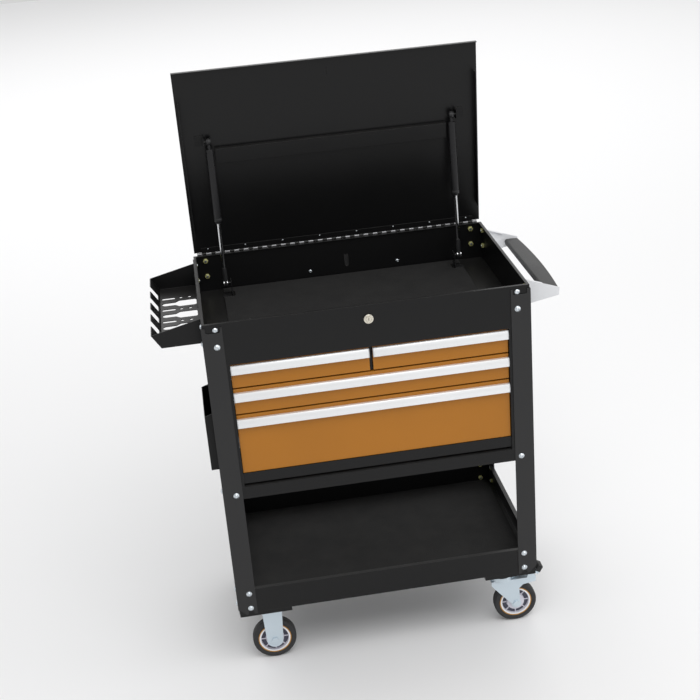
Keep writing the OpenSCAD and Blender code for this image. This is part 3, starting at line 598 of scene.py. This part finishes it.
washer = turned(
    [
        (WASHER_IN, 0, 0),
        (WASHER_OUT, 0, 0),
        (WASHER_OUT, 0, WASHER_H * 0.4),
        (WASHER_OUT - 0.6 * MM, 0, WASHER_H * 0.9),
        (WASHER_IN, 0, WASHER_H),
    ],
    True,
    steps=28,
)
for corner in CORNERS:
    low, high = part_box("post_" + corner)
    side = -1 if corner.endswith("left") else 1
    end = -1 if corner.startswith("front") else 1
    face_x = low.x if side < 0 else high.x
    face_y = low.y if end < 0 else high.y
    washers = []
    for z in BOLT_HEIGHTS:
        on_end = (face_x - side * BOLT_INSET, face_y, z)
        on_side = (face_x, face_y - end * BOLT_INSET, z)
        washers.append(copied(washer, on_end, (-end * math.pi / 2, 0, 0)))
        washers.append(copied(washer, on_side, (0, side * math.pi / 2, 0)))
    fitted(joined(washers), "frame_washers_" + corner, zinc, "cart")
removed(washer)

# ---------------------------------------------------------------- Tool rack
# A folded and slotted black tray hangs on the left posts. Four painted pan-head screws hold its back
# plate to the compartment wall, and two bright ones go through the rear wall.
SCREW_R = 5 * MM
SCREW_H = 2.4 * MM
SHEET_T = 2 * MM
RACK_SCREW_RISE = 42 * MM
RACK_SCREW_INSETS = (30 * MM, 160 * MM)
WALL_SCREW_OFFSETS = (-95 * MM, 175 * MM)
WALL_SCREW_HEIGHT = 1016 * MM

dress(panel_coat, "tool_rack")
rack_low, rack_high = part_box("tool_rack")
screw = turned(
    [
        (0, 0, SCREW_H * 0.55),
        (1.6 * MM, 0, SCREW_H * 0.55),
        (1.8 * MM, 0, SCREW_H),
        (SCREW_R * 0.7, 0, SCREW_H * 0.85),
        (SCREW_R, 0, SCREW_H * 0.25),
        (SCREW_R, 0, 0),
        (0, 0, 0),
    ],
    False,
    steps=24,
)
near, far = RACK_SCREW_INSETS
rack_screws = [
    copied(screw, (rack_high.x - SHEET_T, y, rack_low.z + RACK_SCREW_RISE), (0, -math.pi / 2, 0))
    for y in (rack_low.y + near, rack_low.y + far, rack_high.y - far, rack_high.y - near)
]
fitted(joined(rack_screws), "rack_screws", panel_coat, "cart")
wall_face = shell_high.y - SHEET_T
wall_screws = [
    copied(screw, (shell_middle + x, wall_face, WALL_SCREW_HEIGHT), (math.pi / 2, 0, 0))
    for x in WALL_SCREW_OFFSETS
]
fitted(joined(wall_screws), "rear_wall_screws", zinc, "cart")

# ---------------------------------------------------------------- Push handle
# A light silver bracket of folded sheet carries a bowed grip, moulded in dark grey plastic with rounded
# edges. Four screws fix the bracket to the posts.
GRIP_STEPS = 16
GRIP_BOW = 10 * MM
GRIP_ROUNDING = 6.5 * MM
BRACKET_FACE = 2.5 * MM
HANDLE_SCREW_INSET = 45 * MM
HANDLE_SCREW_RISES = (18 * MM, 56 * MM)

silver_coat = powder_coat(
    "handle silver coat", (0.80, 0.81, 0.83, 1), (0.93, 0.93, 0.94, 1), gloss=0.34, dust=0.05,
    wear_and_highlight=0.5, peel=0.2,
)
dress(silver_coat, "handle_bracket")
grip_plastic = moulded(
    "grip plastic", (0.022, 0.022, 0.023, 1), (0.036, 0.036, 0.037, 1), 0.5, grain=900.0
)
grip_low, grip_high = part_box("handle_grip")


def grip_face(y):
    """How far out the outer face of the grip stands at y: it bows outwards in the middle."""
    half = (grip_high.y - grip_low.y) / 2
    middle = (grip_high.y + grip_low.y) / 2
    return grip_high.x - GRIP_BOW * ((y - middle) / half) ** 2


grip_outline = [(grip_low.x, grip_low.y, grip_low.z)]
for i in range(GRIP_STEPS + 1):
    y = grip_low.y + (grip_high.y - grip_low.y) * i / GRIP_STEPS
    grip_outline.append((grip_face(y), y, grip_low.z))
grip_outline.append((grip_low.x, grip_high.y, grip_low.z))
grip = extruded(grip_outline, (0, 0, grip_high.z - grip_low.z))
bevelled(grip, GRIP_ROUNDING, 5, 60)
fitted(grip, "moulded_grip", grip_plastic, "cart", smooth=45)
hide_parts("handle_grip")

bracket_low, bracket_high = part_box("handle_bracket")
plate_face = bracket_low.x + BRACKET_FACE
handle_screws = [
    copied(screw, (plate_face, y, bracket_low.z + rise), (0, math.pi / 2, 0))
    for y in (bracket_low.y + HANDLE_SCREW_INSET, bracket_high.y - HANDLE_SCREW_INSET)
    for rise in HANDLE_SCREW_RISES
]
fitted(joined(handle_screws), "handle_screws", zinc, "cart")
removed(screw)

# ---------------------------------------------------------------- Lock
# A round cam lock in the front wall, of die-cast metal plated with nickel. Its turned bezel stands out of
# the wall, and the plug turns inside it.
nickel = plated("nickel", (0.86, 0.82, 0.72, 1), (0.62, 0.58, 0.48, 1), 0.24, cloud=120.0)
dress(nickel, "lock_housing", "lock_plug")
lock_low, lock_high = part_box("lock_housing")
lock_place = ((lock_low.x + lock_high.x) / 2, lock_low.y, (lock_low.z + lock_high.z) / 2)
# Section of the bezel, in millimetres: (radius, height over the front of the lock)
bezel_half = [
    (7.4, -0.5), (8.2, 0.5), (9.6, 0.8), (11.4, 0.5), (12.9, -0.8), (13.5, -2.4), (13.5, -4.9), (7.4, -4.9),
]
bezel = turned([(r * MM, 0, h * MM) for r, h in bezel_half], True, steps=48)
bezel.location = lock_place
bezel.rotation_euler = (math.pi / 2, 0, 0)
fitted(bezel, "lock_bezel", nickel, "cart")

# ---------------------------------------------------------------- Hinge and lid
# A full-width piano hinge of rolled strip carries a folded lid in near-black powder coat, with a hat
# section under it. A row of small screws holds the upper leaf.
LID_OPEN = math.radians(85.2)
LEAF_SCREW_R = 2.2 * MM
LEAF_SCREW_H = 0.9 * MM
LEAF_SCREWS = 8
LEAF_SCREW_PITCH = 113 * MM
LEAF_SCREW_INSET = 16 * MM
LEAF_T = 1.6 * MM

# The lower leaf and the pin are a lighter steel than the black upper leaf, so every other knuckle shows as
# a light dash: a painted highlight on a hinge that is black all over.
highlit_knuckle_steel = plated(
    "hinge steel with painted highlight", (0.30, 0.30, 0.31, 1), (0.16, 0.16, 0.165, 1), 0.34, cloud=60.0
)
dress(highlit_knuckle_steel, "hinge_leaf_lower", "hinge_pin")
dress(panel_coat, "hinge_leaf_upper")
lid_coat = powder_coat(
    "lid black coat", (0.0042, 0.0042, 0.0044, 1), (0.05, 0.05, 0.052, 1), gloss=0.30,
    specular=0.31,
)
dress(lid_coat, "lid_pan")
dress(panel_coat, "lid_reinforcement")
joint_of = {joint["name"]: joint for joint in frame["joints"]}
hinge_place = Vector(joint_of["lid_hinge"]["pos_m"])


def on_lid(piece):
    """Moves a piece that is drawn for the shut lid, with the hinge at the origin, to the opened lid."""
    piece.rotation_euler = (-LID_OPEN, 0, 0)
    piece.location = hinge_place
    return piece


leaf_screw = turned(
    [
        (0, 0, LEAF_SCREW_H),
        (LEAF_SCREW_R * 0.6, 0, LEAF_SCREW_H * 0.9),
        (LEAF_SCREW_R, 0, LEAF_SCREW_H * 0.2),
        (LEAF_SCREW_R, 0, 0),
        (0, 0, 0),
    ],
    False,
    steps=16,
)
first_x = -LEAF_SCREW_PITCH * (LEAF_SCREWS - 1) / 2
leaf_screws = []
for i in range(LEAF_SCREWS):
    spot = (first_x + i * LEAF_SCREW_PITCH, -LEAF_SCREW_INSET, -LEAF_T)
    leaf_screws.append(copied(leaf_screw, spot, (math.pi, 0, 0)))
fitted(on_lid(joined(leaf_screws)), "hinge_screws", zinc, "lid")
removed(leaf_screw)

# ---------------------------------------------------------------- Gas struts
# Black brackets on the compartment floor carry polished rods, which slide in black painted barrels. A
# moulded collar seals the mouth of each barrel, and a moulded boot covers the foot of each rod. Ball
# sockets snap over the studs at both ends.
SOCKET_R = 9.6 * MM
SOCKET_HALF = 6.4 * MM
STUD_DROP = 9 * MM
BARREL_LENGTH = 235 * MM

polished = plated(
    "polished rod", (0.88, 0.89, 0.90, 1), (0.74, 0.75, 0.77, 1), 0.12, cloud=80.0, spread=0.08
)
barrel_black = powder_coat(
    "strut black", (0.012, 0.012, 0.013, 1), (0.09, 0.09, 0.095, 1), gloss=0.27, wear_and_highlight=0.25, dust=0.05
)
socket_plastic = moulded("socket plastic", (0.013, 0.013, 0.014, 1), (0.022, 0.022, 0.023, 1), 0.45)
socket = turned(
    [
        (-SOCKET_HALF, 0, 0),
        (-SOCKET_HALF, 0, SOCKET_R * 0.75),
        (-SOCKET_HALF * 0.6, 0, SOCKET_R * 0.97),
        (0, 0, SOCKET_R * 1.04),
        (SOCKET_HALF * 0.6, 0, SOCKET_R * 0.97),
        (SOCKET_HALF, 0, SOCKET_R * 0.75),
        (SOCKET_HALF, 0, 0),
    ],
    False,
    steps=32,
    axis=(1, 0, 0),
)
# Sections of the collar and the boot, in millimetres: (radius, height up the strut)
collar_half = [(5.5, -4), (8.6, -4), (11.3, -1), (11.9, 1.5), (11.9, 6), (11.2, 8), (5.5, 8)]
boot_half = [(5.02, 6), (6.8, 6), (7.2, 12), (6.5, 40), (5.9, 47.6), (5.02, 48)]
collar = turned([(r * MM, 0, h * MM) for r, h in collar_half], True, steps=36)
boot = turned([(r * MM, 0, h * MM) for r, h in boot_half], True, steps=32)
dress(barrel_black, "strut_mounts_lower")
for side, tag in (("left", "l"), ("right", "r")):
    dress(polished, "strut_rod_" + side)
    dress(barrel_black, "strut_barrel_" + side)
    foot = Vector(joint_of["strut_swing_" + tag]["pos_m"])
    slide = Vector(joint_of["strut_stroke_" + tag]["axis"])
    lean = math.atan2(-slide.y, slide.z)
    barrel_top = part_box("strut_barrel_" + side)[1].z
    head = foot + slide * ((barrel_top - STUD_DROP - foot.z) / slide.z)
    mouth = head - slide * BARREL_LENGTH
    for piece, name, body in (
        (copied(socket, foot), "strut_foot_socket_", "strut_rod_"),
        (copied(socket, head), "strut_head_socket_", "strut_barrel_"),
        (copied(boot, foot, (lean, 0, 0)), "strut_boot_", "strut_rod_"),
        (copied(collar, mouth, (lean, 0, 0)), "strut_collar_", "strut_barrel_"),
    ):
        fitted(piece, name + side, socket_plastic, body + tag)
for pattern in (socket, collar, boot):
    removed(pattern)

# ---------------------------------------------------------------- Drawers
# Folded boxes and fronts in satin orange powder coat. Each front carries a pull over its whole width: an
# aluminium extrusion with a sloping upper face and a flat lower face, closed by moulded end caps. A
# ribbed mat lines the box.
PULL_REACH = 13 * MM
PULL_LIP = 12 * MM
PULL_SKIN = 2.2 * MM
CAP_T = 2.4 * MM
CAP_FOOT = 13 * MM
BOX_FLOOR_T = 1.35 * MM
MAT_T = 1.6 * MM
MAT_RIB = 16 * MM
MAT_SIDE_GAP = 11 * MM
MAT_END_GAP = 5 * MM

# The pale orange along the edges of the fronts is a painted highlight: the light line that the fronts'
# edges catch.
orange_coat = powder_coat(
    "drawer orange coat", (0.44, 0.165, 0.010, 1), (0.74, 0.36, 0.05, 1), gloss=0.30, dust=0.04,
    wear_and_highlight=0.5, edge=0.002, peel=0.25,
)
anodised = plated(
    "pull anodised", (0.91, 0.92, 0.93, 1), (0.86, 0.87, 0.88, 1), 0.38, cloud=6.0, scratch=900.0,
    strength=0.08, metallic=0.45, spread=0.12,
)
cap_plastic = moulded("cap plastic", (0.50, 0.51, 0.53, 1), (0.60, 0.61, 0.62, 1), 0.45, dust=0.1)
mat_rubber = moulded("mat rubber", (0.013, 0.013, 0.0135, 1), (0.024, 0.024, 0.025, 1), 0.8, grain=500.0)


def pull_outline(front, top, foot):
    """Section of the pull: out over the top, down the slope and the face, and back inside."""
    face = front - PULL_REACH
    waist = top - (top - foot) * 0.48
    outer = [
        (front, top),
        (front - PULL_REACH * 0.55, top),
        (front - PULL_REACH * 0.70, top - 0.5 * MM),
        (front - PULL_REACH * 0.78, top - 1.6 * MM),
        (face, waist),
        (face, foot + 1.2 * MM),
        (face + 1.2 * MM, foot),
        (front - PULL_REACH * 0.55, foot),
    ]
    inner = [
        (front - PULL_REACH * 0.55, foot + PULL_SKIN),
        (face + PULL_SKIN, foot + PULL_SKIN),
        (face + PULL_SKIN, waist + 0.5 * MM),
        (front - PULL_REACH * 0.60, top - PULL_SKIN),
        (front - 1.5 * MM, top - PULL_SKIN),
        (front - 1.5 * MM, top - PULL_LIP),
        (front, top - PULL_LIP),
    ]
    return outer, inner


def mat_outline(low_x, high_x, floor_z):
    """Section of the ribbed mat, from one side of the box to the other."""
    ribs = int((high_x - low_x) / MAT_RIB)
    pitch = (high_x - low_x) / ribs
    rib_top = floor_z + MAT_T
    groove = floor_z + MAT_T * 0.5
    outline = [(low_x, floor_z)]
    for i in range(ribs):
        x = low_x + i * pitch
        outline += [
            (x, rib_top),
            (x + pitch * 0.55, rib_top),
            (x + pitch * 0.62, groove),
            (x + pitch * 0.93, groove),
        ]
    return outline + [(high_x, rib_top), (high_x, floor_z)]


for drawer in ("top_left", "top_right", "middle", "bottom"):
    body = "drawer_" + drawer
    dress(orange_coat, body + "_box", body + "_front")
    low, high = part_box(body + "_pull")
    outer, inner = pull_outline(high.y, high.z, low.z)
    pull_start = low.x + CAP_T
    pull_length = high.x - low.x - 2 * CAP_T
    pull = extruded([(pull_start, y, z) for y, z in outer + inner], (pull_length, 0, 0))
    bevelled(pull, 0.35 * MM, 2, 50)
    fitted(pull, body + "_pull_bar", anodised, body)
    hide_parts(body + "_pull")
    solid = outer + [(high.y, low.z + CAP_FOOT)]
    caps = []
    for x in (low.x, high.x - CAP_T):
        caps.append(bevelled(extruded([(x, y, z) for y, z in solid], (CAP_T, 0, 0)), 0.5 * MM, 2))
    fitted(joined(caps), body + "_pull_caps", cap_plastic, body)
    box_low, box_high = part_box(body + "_box")
    mat_line = mat_outline(box_low.x + MAT_SIDE_GAP, box_high.x - MAT_SIDE_GAP, box_low.z + BOX_FLOOR_T)
    mat_length = box_high.y - box_low.y - 2 * MAT_END_GAP
    mat = extruded([(x, box_low.y + MAT_END_GAP, z) for x, z in mat_line], (0, mat_length, 0))
    fitted(mat, body + "_mat", mat_rubber, body)

# ---------------------------------------------------------------- Casters
# Pressed and plated forks with a bluish cast, two fixed and two on swivel races. Hexagon bolts hold each
# top plate to its channel, and a moulded ring keeps dirt out of each race.
PLATE_T = 5 * MM
PLATE_HALF_X = 50 * MM
PLATE_HALF_Y = 42.5 * MM
BOLT_OFF_X = 38 * MM
BOLT_OFF_Y = 31 * MM
SEAL_HEIGHT = 167.3 * MM

caster_zinc = plated(
    "caster zinc", (0.68, 0.77, 0.83, 1), (0.60, 0.69, 0.76, 1), 0.33, cloud=8.0, spread=0.1,
    metallic=0.65,
)
dress(caster_zinc, "rigid_forks", "swivel_plates", "swivel_fork_front", "swivel_fork_rear")

# Sections of a plate bolt's head and of the race ring, in millimetres: (radius, height)
bolt_half = [(0, -6.4), (5.2, -6.4), (6.6, -5.4), (6.6, -1.4), (8.6, -1.2), (8.6, 0), (0, 0)]
seal_half = [(30.6, 0), (33.4, 0), (33.9, 1.2), (33.2, 3.2), (30.6, 3.8)]
plate_bolt = turned([(r * MM, 0, h * MM) for r, h in bolt_half], False, steps=6)
for kind, node in (("rigid", "rigid_forks"), ("swivel", "swivel_plates")):
    low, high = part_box(node)
    plate_x = low.x + PLATE_HALF_X
    spots = []
    for plate_y in (low.y + PLATE_HALF_Y, high.y - PLATE_HALF_Y):
        for x in (plate_x - BOLT_OFF_X, plate_x + BOLT_OFF_X):
            for y in (plate_y - BOLT_OFF_Y, plate_y + BOLT_OFF_Y):
                spots.append(copied(plate_bolt, (x, y, high.z - PLATE_T)))
    fitted(joined(spots), kind + "_plate_bolts", zinc, "cart", smooth=20)
removed(plate_bolt)

seal = turned([(r * MM, 0, h * MM) for r, h in seal_half], True, steps=56)
for end in ("front", "rear"):
    kingpin = Vector(joint_of["swivel_turn_" + end]["pos_m"])
    seal_place = (kingpin.x, kingpin.y, SEAL_HEIGHT)
    fitted(copied(seal, seal_place), "race_seal_" + end, black_rubber, "cart")
removed(seal)

# ---------------------------------------------------------------- Wheels
# A tread of dark grey rubber with rounded shoulders is bonded over a pale moulded rim. A thin amber band
# marks the joint, a white ring is set inside it, and dark dust covers sit between the rim's ribs.
WHEEL_R = 65 * MM
TYRE_HALF = 16 * MM
BORE_R = 49 * MM

tyre_rubber = moulded(
    "tyre rubber", (0.024, 0.024, 0.025, 1), (0.040, 0.040, 0.042, 1), 0.68, grain=380.0,
    depth=0.0004, strength=0.5, dust=0.12,
)
rim_plastic = moulded(
    "rim plastic", (0.63, 0.62, 0.70, 1), (0.74, 0.73, 0.80, 1), 0.38, grain=1100.0, strength=0.15,
    dust=0.12,
)
band_plastic = moulded("band plastic", (0.46, 0.21, 0.03, 1), (0.56, 0.28, 0.05, 1), 0.42, dust=0.1)
ring_plastic = moulded("ring plastic", (0.84, 0.84, 0.87, 1), (0.92, 0.92, 0.94, 1), 0.4, dust=0.1)
cover_plastic = moulded("cover plastic", (0.060, 0.060, 0.085, 1), (0.085, 0.085, 0.12, 1), 0.5)

# Section of one half of the tread, from the bore over the shoulder to the groove beside the middle
half_profile = [
    (BORE_R, TYRE_HALF - 3 * MM),
    (BORE_R + 2.2 * MM, TYRE_HALF - 1.9 * MM),
    (BORE_R + 6 * MM, TYRE_HALF - 0.5 * MM),
    (WHEEL_R - 7 * MM, TYRE_HALF),
    (WHEEL_R - 4.6 * MM, TYRE_HALF - 0.3 * MM),
    (WHEEL_R - 2.4 * MM, TYRE_HALF - 1.6 * MM),
    (WHEEL_R - 1.0 * MM, TYRE_HALF - 3.6 * MM),
    (WHEEL_R - 0.35 * MM, TYRE_HALF - 6 * MM),
    (WHEEL_R - 0.2 * MM, 7.2 * MM),
    (WHEEL_R - 1.4 * MM, 6.6 * MM),
    (WHEEL_R - 1.4 * MM, 5.4 * MM),
    (WHEEL_R, 4.8 * MM),
]
tread_profile = half_profile + [(r, -y) for r, y in reversed(half_profile)]
tyre = turned([(r, y, 0) for r, y in tread_profile], True, steps=96, axis=(0, 1, 0))
# Sections of the band, the ring and the cover, in millimetres: (radius, distance from the middle)
band_half = [(46.2, 12.6), (49.0, 12.6), (49.0, 13.5), (48.4, 13.9), (46.8, 13.9), (46.2, 13.4)]
ring_half = [(41.2, 12.6), (46.1, 12.6), (46.1, 13.3), (45.4, 13.7), (42.0, 13.7), (41.2, 13.1)]
cover_half = [(27.7, 4.0), (40.3, 4.0), (40.3, 5.2), (39.0, 5.9), (28.9, 5.9), (27.7, 5.2)]


def both_sides(half):
    """A ring with this section on each side of a wheel."""
    rings = []
    for side in (-1, 1):
        rings.append(turned([(r * MM, side * y * MM, 0) for r, y in half], True, steps=96, axis=(0, 1, 0)))
    return joined(rings)


band = both_sides(band_half)
ring = both_sides(ring_half)
cover = both_sides(cover_half)
for end in ("front", "rear"):
    for side in ("left", "right"):
        tag = end + "_" + side
        body = "wheel_" + side + "_" + end
        axle = Vector(joint_of["roll_" + side + "_" + end]["pos_m"])
        dress(rim_plastic, "wheel_hub_" + tag)
        dress(tyre_rubber, "wheel_tyre_" + tag)
        tread = fitted(copied(tyre, axle), "tread_" + tag, tyre_rubber, body, smooth=40)
        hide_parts("wheel_tyre_" + tag)
        fitted(copied(band, axle), "rim_band_" + tag, band_plastic, body)
        fitted(copied(ring, axle), "rim_ring_" + tag, ring_plastic, body)
        fitted(copied(cover, axle), "dust_cover_" + tag, cover_plastic, body)
for pattern in (tyre, band, ring, cover):
    removed(pattern)

# ---------------------------------------------------------------- Brake pedals
# Plated levers, each on a pin through its fork. A black rubber pad with grooves across it is pushed over
# the end that the foot presses.
GROOVES = 4
GROOVE_D = 1.1 * MM
PAD_HALF = 16.5 * MM

dress(caster_zinc, "brake_pedal_front", "brake_pedal_rear")
pad_foot = Vector((17.8 * MM, 0, 10.0 * MM))
pad_top = Vector((28.3 * MM, 0, 27.3 * MM))
pad_back_top = Vector((40.9 * MM, 0, 20.1 * MM))
pad_back_foot = Vector((30.6 * MM, 0, 2.4 * MM))
across = Vector((0.863, 0, -0.504))
pad_side = Vector((0, PAD_HALF, 0))
pad_outline = []
for i in range(GROOVES):
    for share, depth in ((0.0, 0), (0.17, 0), (0.19, GROOVE_D), (0.23, GROOVE_D)):
        pad_outline.append(pad_foot.lerp(pad_top, i / GROOVES + share) + across * depth)
pad_outline += [pad_top, pad_back_top, pad_back_foot]
pad = extruded([tuple(point - pad_side) for point in pad_outline], tuple(2 * pad_side))
bevelled(pad, 0.7 * MM, 2)
for end in ("front", "rear"):
    pin = Vector(joint_of["brake_press_" + end]["pos_m"])
    fitted(copied(pad, pin), "pedal_pad_" + end, black_rubber, "pedal_" + end)
removed(pad)

# ---------------------------------------------------------------- Camera
# A short tele lens above and a little to the left of the cart's front, looking down into the open top.
# The camera head is turned level to the right of the cart first, and then swung straight to the cart,
# which is what leans the upright posts.
EYE = Vector((-0.401, -3.453, 2.410))
AIM = Vector((-0.012, 0.0, 0.860))
LENS = 67
LEVEL_HEAD = Euler((math.radians(90 - 24.11), 0, math.radians(-18.23)))

camera = bpy.data.objects.new("camera", bpy.data.cameras.new("camera"))
bpy.context.scene.collection.objects.link(camera)
camera.data.lens = LENS
camera.location = EYE
level = LEVEL_HEAD.to_matrix()
swing = (level @ Vector((0, 0, -1))).rotation_difference(AIM - EYE)
camera.rotation_euler = (swing.to_matrix() @ level).to_euler()
bpy.context.scene.camera = camera

# ---------------------------------------------------------------- Studio
# A white floor, a soft white surround and three large soft boxes: one over the drawers, one on the right,
# and one high over the floor behind. The surround gives the sheet metal something pale to reflect.
FLOOR_HALF = 14.0


def studio_floor():
    """A wide flat floor in matt white paint. It is the stage and no part of the cart."""
    clear_selection()
    bpy.ops.mesh.primitive_plane_add(size=FLOOR_HALF * 2)
    floor = bpy.context.object
    floor.name = "studio_floor"
    paint = bpy.data.materials.new("studio white")
    paint.use_nodes = True
    shader = paint.node_tree.nodes["Principled BSDF"]
    shader.inputs["Base Color"].default_value = (0.86, 0.86, 0.865, 1)
    shader.inputs["Roughness"].default_value = 0.6
    shader.inputs["Specular IOR Level"].default_value = 0.3
    floor.data.materials.append(paint)


def soft_box(name, place, target, size, power):
    """An oblong area light at a place, turned to face its target."""
    light = bpy.data.objects.new(name, bpy.data.lights.new(name, "AREA"))
    bpy.context.scene.collection.objects.link(light)
    light.data.shape = "RECTANGLE"
    light.data.size, light.data.size_y = size
    light.data.energy = power
    light.location = place
    light.rotation_euler = (Vector(target) - Vector(place)).to_track_quat("-Z", "Y").to_euler()


studio_floor()
soft_box("key_over_drawers", (0.5, -2.2, 4.0), (0, -0.2, 0.8), (3.0, 2.4), 62)
soft_box("fill_right", (3.6, -0.9, 2.4), (0, 0, 0.8), (2.0, 2.4), 26)
soft_box("floor_wash", (0, 7.0, 5.0), (0, 7.01, 0), (12.0, 9.0), 330)

surround = bpy.data.worlds.new("surround")
surround.use_nodes = True
surround.node_tree.nodes["Background"].inputs["Color"].default_value = (1.0, 1.0, 1.0, 1)
surround.node_tree.nodes["Background"].inputs["Strength"].default_value = 0.66
bpy.context.scene.world = surround
bpy.context.scene.view_settings.view_transform = "Standard"
